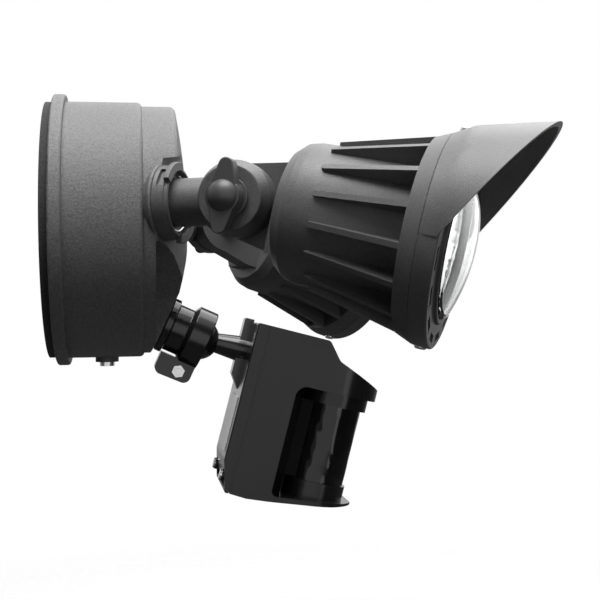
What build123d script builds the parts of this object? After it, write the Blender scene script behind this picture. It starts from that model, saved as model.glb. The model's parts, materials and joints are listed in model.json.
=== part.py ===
"""Outdoor security light: a round wall canopy with two finned lamps and a motion sensor.

Row frame, in millimetres: +X points out of the wall, +Z up, and the origin is the centre
of the wall face. The left lamp is at -Y and the right lamp at +Y.
"""

import os
from math import cos, radians, sin

from build123d import *

# ---- clearances ------------------------------------------------------------
FIT = 0.08            # running fit, on the radius
GAP = 0.3             # between faces of different bodies
THREAD_GAP = 0.02     # a screw in its own thread

# ---- canopy ----------------------------------------------------------------
GASKET_T = 4.0
GASKET_R = 66.0
GASKET_WIDTH = 4.0
FLANGE_R = 70.0
FLANGE_T = 6.2
FLANGE_ROUND = 1.2
DRUM_R = 66.3
DRUM_DEPTH = 44.2     # from the flange's back to the drum's front edge
DRUM_ROUND = 2.6
WALL = 3.0
STEP_R = 64.4         # the raised front
STEP_DEPTH = 5.3
HUB_ROUND = 3.0
HUB_CROWN = 71.0      # the hub's foremost point, from the wall
DOME_R = 330.0
PAD_R = 20.2          # round pads that the arms stand on
PAD_DEPTH = 12.0      # their sides slope back at 45 degrees
PAD_ROUND = 1.0
POCKET_TOP = 21.5     # above the arm's axis
POCKET_RISE = 12.0    # degrees
HUB_WAIST = ((62.0, -9.0), (53.4, -11.0), (46.0, -15.0), (37.0, -24.5), (29.0, -36.0), (26.0, -48.0),
             (30.0, -80.0))
WAIST_ROUND = 9.0

# ---- wall fixings ----------------------------------------------------------
PLATE_T = 2.0
PLATE_WIDTH = 22.0
BOX_SPACING = 88.9    # screws of a round junction box
SLOT_LENGTH = 12.0
SLOT_R = 2.4
PLATE_END = 3.55      # metal beyond a slot
PLATE_LENGTH = BOX_SPACING + SLOT_LENGTH + 2 * PLATE_END
TAB_WIDTH = 14.0
TAB_GAP = 2.0         # between a tab and the gasket
TAB_RADIUS = GASKET_R - GASKET_WIDTH - TAB_GAP
TOP_TAB_DEPTH = 12.0
CENTRE_HOLE_R = 5.2
LOCK_X = 28.8         # lock screw under the drum
LOCK_BOSS_R = 6.0
LOCK_BOSS_DROP = 2.4
LOCK_SCREW_R = 2.0
LOCK_HEAD_R = 3.9
LOCK_HEAD_T = 2.2
DRIVER_SIZE = (20.0, 60.0, 28.0)
DRIVER_X = 18.0
DRIVER_Z = 40.0
DRIVER_SCREW_Y = 24.0
DRIVER_SCREW_R = 1.5
DRIVER_SCREW_LENGTH = 30.0
DRIVER_HEAD_R = 2.8
POST_R = 4.0
GROUND_Y = -20.0
PLATE_X = 0.0

# ---- lamp arms -------------------------------------------------------------
ARM_YAW = 24.8        # the arms spread apart by this, each side
ARM_X = 58.6          # centre of the pad's face
ARM_Y = 54.2
ARM_Z = 9.3
ARM_REACH = 37.8      # from the pad's face to the knuckle's axis
THREAD_R = 10.4       # half-inch conduit thread
WIRE_R = 5.5
TUBE_R = 11.5
ARM_FLANGE_R = 13.8
ARM_FLANGE_T = 2.2
SEAL_T = 0.8
COLLAR_R = 18.2
COLLAR_FRONT_R = 16.6
COLLAR_T = 7.8
COLLAR_RECESS_R = 15.2
COLLAR_RECESS_T = 3.0
COLLAR_BEAD_T = 1.8
LUG_R = 19.4
LUG_ANGLES = (-4.0, 58.0)  # from straight up, outward
LUG_X = (5.6, 8.4)
NOTCH_ANGLE = 49.0
NOTCH_DEPTH = 2.4
NOTCH_X = (2.2, 5.3)
JAM_R = 13.5
JAM_T = 4.0
HUB_WALL = 6.0        # canopy wall behind a threaded outlet
EDGE_RISE = 27.4      # along the sensor's face, from its centre up to its edge
EDGE_SETBACK = 2.2    # that edge is cut back by this, at half the face's slope

# ---- knuckles --------------------------------------------------------------
WASHER_T = 0.6
KNUCKLE_R = 17.9
KNUCKLE_FACE_R = 15.0
KNUCKLE_T = 15.9
KNUCKLE_BEVEL = 6.5
CHEEK_R = 17.6
CHEEK_T = 13.8
BOLT_R = 4.0
BOLT_HEAD_R = 7.0
BOLT_HEAD_T = 3.5
KNOB_BASE_R = 9.5
KNOB_BASE_T = 2.2
KNOB_HUB_R = 8.2
KNOB_T = 9.7
KNOB_DOME_R = 7.2
KNOB_DOME_T = 3.8
WING_REACH = 13.8
WING_TIP_R = 3.4
WING_ROOT_R = 7.2
WING_START = 3.5
WING_T = 6.2
WING_TURN = 8.0       # degrees from upright

# ---- lamps -----------------------------------------------------------------
LEFT_TILT = 12.9
RIGHT_TILT = 14.6
REAR_A = 25.0         # places along the beam, from the knuckle's axis
REAR_R = 27.6
SHOULDER_A = 30.0
SHOULDER_R = 31.7
RING_A = 86.0
RING_R = 44.6
SEAM_A = 93.7
SEAM_R = 47.8
BEZEL_A = 102.2
BEZEL_R = 48.3
BEZEL_ROUND = 0.8
VENT_COUNT = 16
VENT_R = 43.4
VENT_WIDTH = 3.4
VENT_LENGTH = 10.0
VENT_DEPTH = 1.6
FIN_COUNT = 16
FIN_T = 2.5
FIN_TURN = 8.4        # first fin, from straight up towards the lamp's outer side
FIN_START_A = 43.0
FIN_FLOOR_A = 35.0    # where the hollows between the fins begin
FIN_FLOOR_R = 34.6
HOUSING_BORE_R = 26.0
HOUSING_SEAT_R = 30.0
HOUSING_MOUTH_R = 40.5
MOUTH_A = 88.5
NECK_START = 19.0
NECK_HALF = 21.5
BOSS_DROP = 2.2       # the boss's top under the neck's
NECK_REACH = 10.0
BOARD_A = 80.0
BOARD_R = 29.7
BOARD_T = 2.0
REFLECTOR_THROAT_R = 14.0
REFLECTOR_R = 36.5
REFLECTOR_T = 1.2
LENS_R = 37.5
LENS_T = 2.5
LENS_A = 98.0
LENS_BULGE = 6.4
LENS_STEP = 3.0       # the dome's edge in front of the bezel's face
GASKET_LENS_T = 1.5
BEZEL_OPENING_R = 34.6
BEZEL_LIP_R = 36.8    # raised lip round the opening
BEZEL_LIP_T = 1.6
BEZEL_SCREW_R = 1.6
BEZEL_HEAD_R = 2.9
BEZEL_SCREW_A = 97.0
BEZEL_SCREW_LENGTH = 6.0
BEZEL_HEAD_T = 1.8
BEZEL_SCREWS = ((180.0, -0.4), (0.0, 1.6))  # angle from the top, and the seat over the seam's radius
VISOR_TIP_A = 136.9
VISOR_TIP_R = 56.4
VISOR_TIP_RISE = 3.45 # the tip circle's centre over the beam's axis
VISOR_ROOT_R = 49.0
VISOR_ROOT_RISE = 3.25
VISOR_CUT_A = 101.1   # where the slanted cut crosses the beam's axis
VISOR_T = 2.0

# ---- sensor arm ------------------------------------------------------------
SENSOR_DROP = 25.0    # degrees below level
SENSOR_X = 58.3
SENSOR_Z = -48.9
SENSOR_SEAL_T = 0.8
NUT_R = 14.7
NUT_T = 3.6
SOCKET_R = 12.8
SOCKET_START = 4.7
CLAMP_START = 12.6
CLAMP_SHOULDER = 14.7
CLAMP_R = 16.1
CLAMP_END = 24.9
BALL_S = 20.3         # ball centre, from the canopy's face
BALL_R = 11.1
MOUTH_R = 10.2
EAR_START = 4.8
EAR_END = 24.5
EAR_BOTTOM = -25.2
EAR_T = 13.0
EAR_ROUND = 3.8
EAR_SLIT = 1.6
CLAMP_SCREW_S = 17.1
CLAMP_SCREW_Z = -19.9
CLAMP_SCREW_R = 1.6
CLAMP_NUT_R = 3.4
CLAMP_NUT_T = 2.6

# ---- sensor head, measured from the ball's centre ---------------------------
HEAD_DROP = 15.0      # degrees below level
STEM_R = 5.3
STEM_END_R = 6.7
BRACKET_START = 21.2
BRACKET_HALF = 4.5
BRACKET_TOP = 16.9
BRACKET_LOW = (-13.5, -21.2)
BACK_START = 26.2
BACK_CHAMFER = (30.4, -56.0)
SHELL_START = 33.0
HEAD_TOP = 15.8
HEAD_BOTTOM = -72.6
SHELL_BOTTOM = ((42.0, -73.2), (54.0, -72.2), (73.0, -69.9), (88.0, -68.2), (99.4, -66.6))
HEAD_HALF = 25.0
HEAD_ROUND = 1.2
NOSE_CENTRE = 76.0
TOP_END = 65.1
BROW = (72.8, 6.6)
HOOD_TIP = (101.0, -4.5)
HOOD_UNDER = -10.3
WINDOW_START = 54.0
WINDOW_ROUND = 6.0
LIP_BACK = -69.2      # the lip's upper side, at the window's back and under the hood's tip
LIP_FRONT = -64.8
PIR_CENTRE = 79.2
PIR_R = 15.6
PIR_WALL = 1.0
RING_OVER_R = 18.1
RING_UNDER_R = 16.9
LENS_TOP = -17.2
LENS_BOTTOM = -58.4
SHELL_WALL = 2.4
SEAM_WIDTH = 0.6      # groove between the back cover and the shell
SEAM_DEPTH = 0.5
SADDLE_HALF = 10.0    # wall behind the curved lens
SADDLE_REACH = 8.0
HEAD_BOARD_T = 1.6
HEAD_BOARD_HALF = 16.0
HEAD_BOARD_Z = (-56.0, 4.0)
LABEL_HALF = 19.0
LABEL_T = 0.4
LABEL_TOP = -24.0
CAN_R = 4.1
CAN_FLANGE_R = 4.6
CAN_SPAN = (-7.6, -7.0, -3.0)  # flange, can and window, from the lens's centre
PIN_R = 0.4
PIN_OFFSET = 2.0
DIAL_R = 4.0
DIAL_SPACING = 13.0
DIAL_F = 43.0
SHELL_SCREW_R = 1.5
SCREW_INSET = 8.0
BOARD_POSTS = (-50.0, 0.0)
HEAD_BOARD_F = 40.0
DETECTOR_Z = -38.0

os.makedirs("parts", exist_ok=True)


# ---- helpers ---------------------------------------------------------------
def turned(points, rounds=None):
    """A solid of revolution about X from a closed outline of (x, radius) points."""
    outline = [(x, 0, r) for x, r in points]
    if rounds is None:
        rounds = [0.0] * len(points)
    wire = FilletPolyline(*outline, radius=rounds, close=True)
    return revolve(make_face(wire), Axis.X, 360)


def rod(x0, x1, r, y=0.0, z=0.0):
    """A cylinder along X from x0 to x1."""
    return Pos((x0 + x1) / 2, y, z) * Rot(0, 90, 0) * Cylinder(r, x1 - x0)


def cross_rod(y0, y1, r, x=0.0, z=0.0):
    """A cylinder along Y from y0 to y1."""
    low, high = min(y0, y1), max(y0, y1)
    return Pos(x, (low + high) / 2, z) * Rot(90, 0, 0) * Cylinder(r, high - low)


def upright_rod(z0, z1, r, x=0.0, y=0.0):
    """A cylinder along Z from z0 to z1."""
    return Pos(x, y, (z0 + z1) / 2) * Cylinder(r, z1 - z0)


def block(x0, x1, y0, y1, z0, z1):
    """A box between two corners."""
    return Pos((x0 + x1) / 2, (y0 + y1) / 2, (z0 + z1) / 2) * Box(x1 - x0, abs(y1 - y0), z1 - z0)


def slab(points, y0, y1, rounds=0.0):
    """An outline of (x, z) points carried along Y from y0 to y1."""
    low, high = min(y0, y1), max(y0, y1)
    outline = [(x, low, z) for x, z in points]
    if not isinstance(rounds, (list, tuple)):
        rounds = [rounds] * len(points)
    wire = FilletPolyline(*outline, radius=list(rounds), close=True)
    return extrude(make_face(wire), amount=high - low, dir=(0, 1, 0))


def hexagon_x(x0, x1, across_r):
    """A hexagonal prism along X, with its corners at across_r."""
    prism = extrude(RegularPolygon(across_r, 6), amount=x1 - x0)
    return Pos(x0, 0, 0) * Rot(0, 90, 0) * prism


def save(name, shape, place=None):
    """Write one sub-part, moved to its place."""
    if place is not None:
        shape = place * shape
    if isinstance(shape, (list, ShapeList)):
        shape = Compound(children=list(shape))
    export_step(shape, f"parts/{name}.step")
    return shape


# ---- frames ----------------------------------------------------------------
def arm_place(side):
    """Frame of an arm: X along the tube, away from the wall, origin on the pad's face."""
    yaw = radians(ARM_YAW)
    return Plane(origin=(ARM_X, side * ARM_Y, ARM_Z), x_dir=(cos(yaw), side * sin(yaw), 0),
                 z_dir=(0, 0, 1)).location


def lamp_place(side):
    """Frame of a lamp: X along the beam, Z up, origin on the knuckle's axis."""
    tilt = LEFT_TILT if side < 0 else RIGHT_TILT
    return arm_place(side) * Pos(ARM_REACH, 0, 0) * Rot(0, tilt, 0)


def sensor_place():
    """Frame of the sensor's socket: X along it, origin on the canopy's sloping face."""
    return Pos(SENSOR_X, 0, SENSOR_Z) * Rot(0, SENSOR_DROP, 0)


def head_place():
    """Frame of the sensor head: X along its view, origin at the ball's centre."""
    return sensor_place() * Pos(BALL_S, 0, 0) * Rot(0, HEAD_DROP - SENSOR_DROP, 0)


# ---- canopy ----------------------------------------------------------------
FLANGE_X = GASKET_T
DRUM_X = GASKET_T + DRUM_DEPTH
STEP_X = DRUM_X + STEP_DEPTH


def dome_x(r):
    """How far the crowned front stands from the wall at radius r."""
    return HUB_CROWN - DOME_R + (DOME_R**2 - r**2) ** 0.5


def hub_blank(inset):
    """The hub's full body before its faces are cut, inset all round by a wall."""
    back = DRUM_X - WALL - inset
    r = STEP_R - inset
    shoulder = r - HUB_ROUND
    side_x = dome_x(shoulder) - inset - HUB_ROUND
    rise = HUB_ROUND * (1 - cos(radians(45)))
    side = Polyline((back, 0, 0), (back, 0, r), (side_x, 0, r))
    corner = ThreePointArc((side_x, 0, r), (side_x + HUB_ROUND - rise, 0, r - rise),
                           (side_x + HUB_ROUND, 0, shoulder))
    crown = ThreePointArc((side_x + HUB_ROUND, 0, shoulder), (dome_x(shoulder / 2) - inset, 0, shoulder / 2),
                          (HUB_CROWN - inset, 0, 0))
    close = Line((HUB_CROWN - inset, 0, 0), (back, 0, 0))
    body = revolve(make_face(side + corner + crown + close), Axis.X, 360)
    return body & hub_outline(inset)


def hub_outline(inset):
    """The hub seen from the front: full width at the arms, drawn in below them."""
    right = [(y - inset, z + inset * 0.6) for y, z in HUB_WAIST]
    top = 90.0
    points = [(0, top), (90, top), (90, right[0][1])] + right
    rounds = [0, 0, 0, 0] + [WAIST_ROUND] * 2 + [WAIST_ROUND * 0.8] * 2 + [WAIST_ROUND] + [0]
    points = points + [(0, right[-1][1])]
    rounds = rounds + [0]
    outline = [(DRUM_X - 20, y, z) for y, z in points]
    half = extrude(make_face(FilletPolyline(*outline, radius=rounds, close=True)), amount=80, dir=(1, 0, 0))
    return half + mirror(half, Plane.XZ)


def arm_cut(side, inset):
    """Everything in front of an arm's pad, under a sloping roof."""
    reach = 90.0
    roof = POCKET_TOP + inset
    cut = block(-inset, reach, -reach, reach, -reach, roof)
    return arm_place(side) * Rot(-side * POCKET_RISE, 0, 0) * cut


def sensor_cut(inset):
    """Everything in front of the sensor's sloping face, and of the softened edge over it."""
    reach = 90.0
    ahead = block(-inset, reach, -reach, reach, -reach, reach)
    corner = Pos(0, 0, EDGE_RISE) * Rot(0, -SENSOR_DROP / 2, 0) * Pos(-EDGE_SETBACK, 0, 0)
    return sensor_place() * ahead + sensor_place() * corner * ahead


def hub(inset):
    """The raised front with its three flat faces."""
    body = hub_blank(inset) + rod(DRUM_X - WALL, STEP_X - inset, STEP_R - inset)
    for side in (-1, 1):
        body -= arm_cut(side, inset)
    body -= sensor_cut(inset)
    return body


def pad(depth, r):
    """A round pad with its sides sloping back, its face at the arm frame's origin."""
    return turned([(-depth, 0), (-depth, r - depth), (0, r), (0, 0)], [0, 0, PAD_ROUND, 0])


def make_canopy():
    """Round die-cast canopy, open to the wall, with pads and threaded outlets."""
    shell = turned([(FLANGE_X, 0), (FLANGE_X, FLANGE_R), (FLANGE_X + FLANGE_T, FLANGE_R),
                    (FLANGE_X + FLANGE_T, DRUM_R), (DRUM_X, DRUM_R), (DRUM_X, 0)],
                   [0, FLANGE_ROUND, FLANGE_ROUND, 0, DRUM_ROUND, 0])
    shell += hub(0)
    for side in (-1, 1):
        shell += arm_place(side) * pad(PAD_DEPTH, PAD_R)
    shell += upright_rod(-DRUM_R - LOCK_BOSS_DROP, -DRUM_R + WALL, LOCK_BOSS_R, LOCK_X)
    cavity = rod(FLANGE_X - 1, DRUM_X - WALL, DRUM_R - WALL) + hub(WALL + 1)
    shell -= cavity
    for side in (-1, 1):
        shell += arm_place(side) * (pad(HUB_WALL, PAD_R - 1) - rod(-HUB_WALL, 0, THREAD_R + FIT))
        shell -= arm_place(side) * rod(-30, 1, THREAD_R + FIT)
    for side in (-1, 1):
        shell -= arm_place(side) * rod(-HUB_WALL - JAM_T - 6, -HUB_WALL, JAM_R + GAP)
    shell += sensor_place() * rod(-HUB_WALL, 0, PAD_R - 4)
    shell -= sensor_place() * rod(-30, 1, THREAD_R + FIT)
    shell -= upright_rod(-DRUM_R - 10, -DRUM_R + 10, LOCK_SCREW_R + GAP, LOCK_X)
    for side in (-1, 1):
        front = DRIVER_X + DRIVER_SIZE[0]
        y = side * DRIVER_SCREW_Y
        shell += rod(front, dome_x(DRIVER_Z + POST_R) - WALL, POST_R, y, DRIVER_Z)
        shell -= rod(front - 1, DRIVER_X + DRIVER_SCREW_LENGTH + 1, DRIVER_SCREW_R + THREAD_GAP, y, DRIVER_Z)
    return shell


# ---- wall fixings ----------------------------------------------------------
def make_gasket():
    """Flat foam ring between the canopy and the wall."""
    return rod(0, GASKET_T, GASKET_R) - rod(-1, GASKET_T + 1, GASKET_R - GASKET_WIDTH)


def make_plate():
    """Cross-shaped plate with two slots and two tabs bent forward."""
    x0, x1 = PLATE_X, PLATE_X + PLATE_T
    plate = block(x0, x1, -PLATE_LENGTH / 2, PLATE_LENGTH / 2, -PLATE_WIDTH / 2, PLATE_WIDTH / 2)
    plate += block(x0, x1, -TAB_WIDTH / 2, TAB_WIDTH / 2, -TAB_RADIUS, TAB_RADIUS)
    low_end = LOCK_X + LOCK_BOSS_R
    plate += block(x0, low_end, -TAB_WIDTH / 2, TAB_WIDTH / 2, -TAB_RADIUS, -TAB_RADIUS + PLATE_T)
    plate += block(x0, TOP_TAB_DEPTH, -TAB_WIDTH / 2, TAB_WIDTH / 2, TAB_RADIUS - PLATE_T, TAB_RADIUS)
    straight = SLOT_LENGTH / 2 - SLOT_R
    for y in (-BOX_SPACING / 2, BOX_SPACING / 2):
        plate -= rod(x0 - 1, x1 + 1, SLOT_R, y - straight) + rod(x0 - 1, x1 + 1, SLOT_R, y + straight)
        plate -= block(x0 - 1, x1 + 1, y - straight, y + straight, -SLOT_R, SLOT_R)
    plate -= rod(x0 - 1, x1 + 1, CENTRE_HOLE_R)
    plate -= rod(x0 - 1, x1 + 1, LOCK_SCREW_R + THREAD_GAP, GROUND_Y)
    plate -= upright_rod(-TAB_RADIUS - 1, -TAB_RADIUS + PLATE_T + 1, LOCK_SCREW_R + THREAD_GAP, LOCK_X)
    return plate


def make_ground_screw():
    """Hexagonal-head screw for the earth wire."""
    x1 = PLATE_X + PLATE_T
    screw = rod(PLATE_X, x1, LOCK_SCREW_R) + hexagon_x(x1, x1 + LOCK_HEAD_T, LOCK_HEAD_R)
    return Pos(0, GROUND_Y, 0) * screw


def make_lock_screw():
    """Pan-head screw that pulls the canopy onto the plate's lower tab."""
    seat = -DRUM_R - LOCK_BOSS_DROP
    screw = upright_rod(seat - LOCK_HEAD_T, seat, LOCK_HEAD_R, LOCK_X)
    screw += upright_rod(seat, -TAB_RADIUS + PLATE_T + 1, LOCK_SCREW_R, LOCK_X)
    slot = block(LOCK_X - LOCK_HEAD_R, LOCK_X + LOCK_HEAD_R, -0.5, 0.5, seat - LOCK_HEAD_T - 1,
                 seat - LOCK_HEAD_T / 2)
    cross = Pos(LOCK_X, 0, 0) * Rot(0, 0, 90) * Pos(-LOCK_X, 0, 0) * slot
    reach = upright_rod(seat - LOCK_HEAD_T - 1, seat, LOCK_HEAD_R * 0.65, LOCK_X)
    return screw - (slot & reach) - (cross & reach)


def make_driver():
    """Potted driver box with two through holes."""
    depth, width, height = DRIVER_SIZE
    low, high = DRIVER_Z - height / 2, DRIVER_Z + height / 2
    box = block(DRIVER_X, DRIVER_X + depth, -width / 2, width / 2, low, high)
    box = fillet(box.edges().filter_by(Axis.X), 2.0)
    for side in (-1, 1):
        y = side * DRIVER_SCREW_Y
        box -= rod(DRIVER_X - 1, DRIVER_X + depth + 1, DRIVER_SCREW_R + THREAD_GAP, y, DRIVER_Z)
    return box


def make_driver_screws():
    """Two screws through the driver into the canopy's posts."""
    screws = []
    for side in (-1, 1):
        y = side * DRIVER_SCREW_Y
        screws.append(rod(DRIVER_X - 2, DRIVER_X, DRIVER_HEAD_R, y, DRIVER_Z)
                      + rod(DRIVER_X, DRIVER_X + DRIVER_SCREW_LENGTH, DRIVER_SCREW_R, y, DRIVER_Z))
    return screws


# ---- lamp arms -------------------------------------------------------------
FLANGE_START = SEAL_T + 0.1
COLLAR_LIP_X = FLANGE_START + ARM_FLANGE_T + 0.1
COLLAR_FLOOR_X = COLLAR_T - COLLAR_RECESS_T


def make_collar(side):
    """Cup-shaped collar that holds the arm's flange on the pad, with two lugs and notches."""
    bead_x = COLLAR_T - COLLAR_BEAD_T
    collar = turned([(0, ARM_FLANGE_R + GAP), (0, COLLAR_R), (bead_x, COLLAR_R - 0.7),
                     (bead_x, COLLAR_FRONT_R + 0.4), (COLLAR_T, COLLAR_FRONT_R),
                     (COLLAR_T, COLLAR_RECESS_R), (COLLAR_FLOOR_X, COLLAR_RECESS_R),
                     (COLLAR_FLOOR_X, TUBE_R + GAP), (COLLAR_LIP_X, TUBE_R + GAP),
                     (COLLAR_LIP_X, ARM_FLANGE_R + GAP)],
                    [0, 0.5, 0.3, 0, 0.6, 0.3, 0, 0, 0, 0])
    for half in (0, 180):
        collar += Rot(half, 0, 0) * collar_lug(side)
        notch = block(NOTCH_X[0], NOTCH_X[1], -5.4, 5.4, COLLAR_R - NOTCH_DEPTH, COLLAR_R + 1)
        collar -= Rot(-side * NOTCH_ANGLE + half, 0, 0) * notch
    return collar


def collar_lug(side):
    """A rib round part of the collar's rim, to grip it by."""
    low_r = COLLAR_RECESS_R + 0.2
    rib = turned([(LUG_X[0], low_r), (LUG_X[0], LUG_R), (LUG_X[1], LUG_R), (LUG_X[1], low_r)], [0, 0.6, 0.6, 0])
    reach = 2 * LUG_R
    after = block(0, reach, 0, side * reach, -reach, reach)
    before = block(0, reach, -side * reach, 0, -reach, reach)
    return rib & (Rot(-side * LUG_ANGLES[0], 0, 0) * after) & (Rot(-side * LUG_ANGLES[1], 0, 0) * before)


def make_seal():
    """Flat ring under the arm's flange."""
    return rod(0, SEAL_T, ARM_FLANGE_R - 0.5) - rod(-1, SEAL_T + 1, THREAD_R + GAP)


def make_arm(side):
    """Arm: threaded tail, flange, tube and the outer half of the knuckle."""
    tail = -HUB_WALL - JAM_T - 3
    split = ARM_REACH - KNUCKLE_R - 1.5
    arm = rod(tail, FLANGE_START, THREAD_R) + rod(FLANGE_START, FLANGE_START + ARM_FLANGE_T, ARM_FLANGE_R)
    arm += rod(FLANGE_START, split, TUBE_R)
    outer = block(split - 1, ARM_REACH, side * WASHER_T / 2, side * 40, -40, 40)
    arm += rod(split - 1, ARM_REACH, TUBE_R) & outer
    near, far = WASHER_T / 2, WASHER_T / 2 + KNUCKLE_T
    disc = turned([(near, 0), (near, KNUCKLE_R), (far - KNUCKLE_BEVEL, KNUCKLE_R), (far, KNUCKLE_FACE_R),
                   (far, 0)], [0, 0, 2.0, 1.0, 0])
    arm += Pos(ARM_REACH, 0, 0) * Rot(0, 0, 90 * side) * disc
    arm -= rod(tail - 1, split - 4, WIRE_R)
    arm -= cross_rod(side * -1, side * 30, BOLT_R + FIT, ARM_REACH)
    return arm


def make_jam_nut():
    """Nut on the tail, inside the canopy."""
    start = -HUB_WALL - GAP - JAM_T
    return hexagon_x(start, start + JAM_T, JAM_R) - rod(start - 1, start + JAM_T + 1, THREAD_R + THREAD_GAP)


# ---- knuckle hardware, in the lamp's frame ----------------------------------
KNOB_START = WASHER_T / 2 + KNUCKLE_T + 0.1


def make_washer():
    """Friction washer between the knuckle's halves."""
    return cross_rod(-WASHER_T / 2, WASHER_T / 2, KNUCKLE_FACE_R - 5) - cross_rod(-1, 1, BOLT_R + FIT)


def make_bolt(side):
    """Bolt through the knuckle, with its head sunk in the lamp's half."""
    back = -side * (WASHER_T / 2 + CHEEK_T)
    bolt = cross_rod(back, side * (KNOB_START + KNOB_T), BOLT_R)
    head = Rot(0, 0, 90) * hexagon_x(0, BOLT_HEAD_T, BOLT_HEAD_R)
    return bolt + Pos(0, back + (0 if side < 0 else -BOLT_HEAD_T), 0) * head


def make_knob(side):
    """Wing knob with a domed hub, turned a little from upright."""
    knob = turned([(0, 0), (0, KNOB_BASE_R), (KNOB_BASE_T, KNOB_BASE_R), (KNOB_BASE_T, KNOB_HUB_R),
                   (KNOB_T, KNOB_HUB_R), (KNOB_T, 0)], [0, 0.8, 0.5, 0.3, 0.8, 0])
    rim, middle, crown = cap(KNOB_T, KNOB_DOME_R, KNOB_DOME_T)
    under = Polyline(crown, (KNOB_T - 1, 0, 0), (KNOB_T - 1, 0, KNOB_DOME_R), rim)
    knob += revolve(make_face(Wire([*under.edges(), ThreePointArc(rim, middle, crown)])), Axis.X, 360)
    tips = Sketch() + [Pos(0, s * WING_REACH) * Circle(WING_TIP_R) for s in (-1, 1)]
    wing = make_hull((Circle(WING_ROOT_R) + tips).edges())
    plate = extrude(wing, amount=WING_T)
    plate = fillet(plate.edges().group_by(Axis.Z)[-1], 0.6)
    knob += Pos(WING_START, 0, 0) * Rot(0, 90, 0) * Rot(0, 0, 90 - WING_TURN) * plate
    knob -= rod(-1, KNOB_T + 0.1, BOLT_R + FIT)
    return Pos(0, side * KNOB_START, 0) * Rot(0, 0, 90 * side) * knob


# ---- lamps, in the lamp's frame ------------------------------------------------
def cone_r(a):
    """Radius of the housing's cone over the fins."""
    return SHOULDER_R + (RING_R - SHOULDER_R) * (a - SHOULDER_A) / (RING_A - SHOULDER_A)


def fin_pockets(side):
    """The hollows between the fins, deeper towards the front ring."""
    ring = turned([(FIN_FLOOR_A, cone_r(FIN_FLOOR_A)), (RING_A, FIN_FLOOR_R), (RING_A, RING_R * 1.4),
                   (FIN_FLOOR_A, RING_R * 1.4)])
    pitch = 360 / FIN_COUNT
    nose = FIN_START_A + FIN_T / 2
    fin = block(nose, RING_A + 1, -FIN_T / 2, FIN_T / 2, 10, RING_R * 1.5)
    fin += upright_rod(10, RING_R * 1.5, FIN_T / 2, nose)
    for i in range(FIN_COUNT):
        ring -= Rot(-side * (FIN_TURN + pitch * i), 0, 0) * fin
    return ring


def make_housing(side):
    """Finned die-cast housing with its neck and the inner half of the knuckle."""
    body = turned([(REAR_A, 0), (REAR_A, REAR_R), (SHOULDER_A, SHOULDER_R), (RING_A, RING_R),
                   (SEAM_A, SEAM_R), (SEAM_A, 0)], [0, 1.0, 1.0, 0.8, 0.4, 0])
    body -= fin_pockets(side)
    body -= rod(REAR_A + 6, BOARD_A + 1, HOUSING_BORE_R) + rod(BOARD_A, MOUTH_A + 1, HOUSING_SEAT_R)
    body -= rod(MOUTH_A, SEAM_A + 1, HOUSING_MOUTH_R)
    inner, outer = -side * WASHER_T / 2, -side * (WASHER_T / 2 + CHEEK_T)
    housing = body + cross_rod(inner, outer, CHEEK_R)
    neck = [(0, CHEEK_R), (NECK_START, NECK_HALF), (REAR_A + 2, NECK_HALF),
            (REAR_A + 2, -NECK_HALF), (NECK_START, -NECK_HALF), (0, -CHEEK_R)]
    housing += slab(neck, inner, outer)
    boss_top = NECK_HALF - BOSS_DROP
    boss = [(NECK_START + GAP, boss_top), (REAR_A + 2, boss_top), (REAR_A + 2, -NECK_HALF),
            (NECK_START + GAP, -NECK_HALF)]
    housing += slab(boss, outer, side * NECK_REACH, 0.0)
    housing -= cross_rod(inner + side, outer - side, BOLT_R + THREAD_GAP)
    return housing


def make_board():
    """LED board: a metal disc with a raised chip area."""
    chips = rod(BOARD_A + BOARD_T, BOARD_A + BOARD_T + 0.8, REFLECTOR_THROAT_R - 2)
    return rod(BOARD_A, BOARD_A + BOARD_T, BOARD_R) + chips


REFLECTOR_START = BOARD_A + BOARD_T
LENS_GASKET_A = LENS_A - GASKET_LENS_T


def make_reflector():
    """Bright cup from the LEDs to the lens."""
    rim = LENS_GASKET_A
    return turned([(REFLECTOR_START, REFLECTOR_THROAT_R), (REFLECTOR_START, REFLECTOR_THROAT_R + REFLECTOR_T),
                   (rim - REFLECTOR_T, REFLECTOR_R - 1), (rim - REFLECTOR_T, LENS_R), (rim, LENS_R),
                   (rim, REFLECTOR_R - 2)])


def make_lens_gasket():
    """Flat ring behind the lens."""
    return rod(LENS_GASKET_A, LENS_A, LENS_R) - rod(LENS_GASKET_A - 1, LENS_A + 1, LENS_R - 2.2)


def cap(base_x, base_r, height):
    """A round cap's section, from its rim to its crown."""
    sphere_r = (base_r**2 + height**2) / (2 * height)
    half_r = base_r / 2
    half_x = base_x + height - sphere_r + (sphere_r**2 - half_r**2) ** 0.5
    return (base_x, 0, base_r), (half_x, 0, half_r), (base_x + height, 0, 0)


def make_lens():
    """Clear domed lens with a flat rim."""
    rim = BEZEL_OPENING_R - GAP
    step = BEZEL_A + LENS_STEP
    outer = cap(step, rim - 1, LENS_BULGE)
    inner = cap(step - LENS_T, rim - 1 - LENS_T, LENS_BULGE)
    edge = Polyline(inner[0], (LENS_A, 0, rim - 1 - LENS_T), (LENS_A, 0, LENS_R),
                    (LENS_A + LENS_T, 0, LENS_R), (LENS_A + LENS_T, 0, rim), (step - 1, 0, rim), outer[0])
    arcs = [ThreePointArc(*outer), Line(outer[2], inner[2]), ThreePointArc(*inner[::-1])]
    section = Wire([*edge.edges(), *arcs])
    return revolve(make_face(section), Axis.X, 360)


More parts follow.
